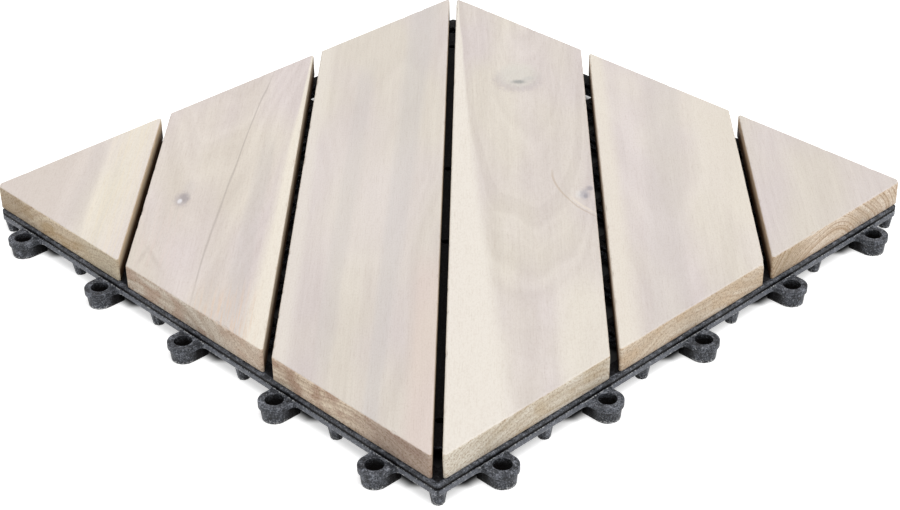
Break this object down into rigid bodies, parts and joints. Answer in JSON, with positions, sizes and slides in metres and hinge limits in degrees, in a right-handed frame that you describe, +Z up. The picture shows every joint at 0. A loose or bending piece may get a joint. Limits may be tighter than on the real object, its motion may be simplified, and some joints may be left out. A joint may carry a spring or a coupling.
{
  "type": "interlocking deck tile",
  "caption": "Square wooden deck tile: wide diagonal slats screwed onto an open moulded plastic grid, with loops on two edges and pegs on the other two.",
  "frame": {"origin": "middle of the 300 mm tile module, on the ground under the central foot", "axes": "+Z up; the edges lie along X and Y; the loops are on the +X and -Y edges and the pegs on the -X and +Y edges; the slats run from the (+X, -Y) corner to the (-X, +Y) corner"},
  "size_m": [0.3112, 0.3112, 0.0225],
  "materials": {
    "base_plastic": "dark grey moulded polypropylene with a soft sheen",
    "slat_wood": "whitewashed hardwood, matte, with darker tan end grain",
    "screw_steel": "plain zinc-plated steel"
  },
  "bodies": {
    "root": {"interlocking_base": "base_plastic", "corner_slat_left": "slat_wood", "outer_slat_left": "slat_wood", "middle_slat_left": "slat_wood", "middle_slat_right": "slat_wood", "outer_slat_right": "slat_wood", "corner_slat_right": "slat_wood", "slat_screws": "screw_steel"}
  },
  "joints": []
}
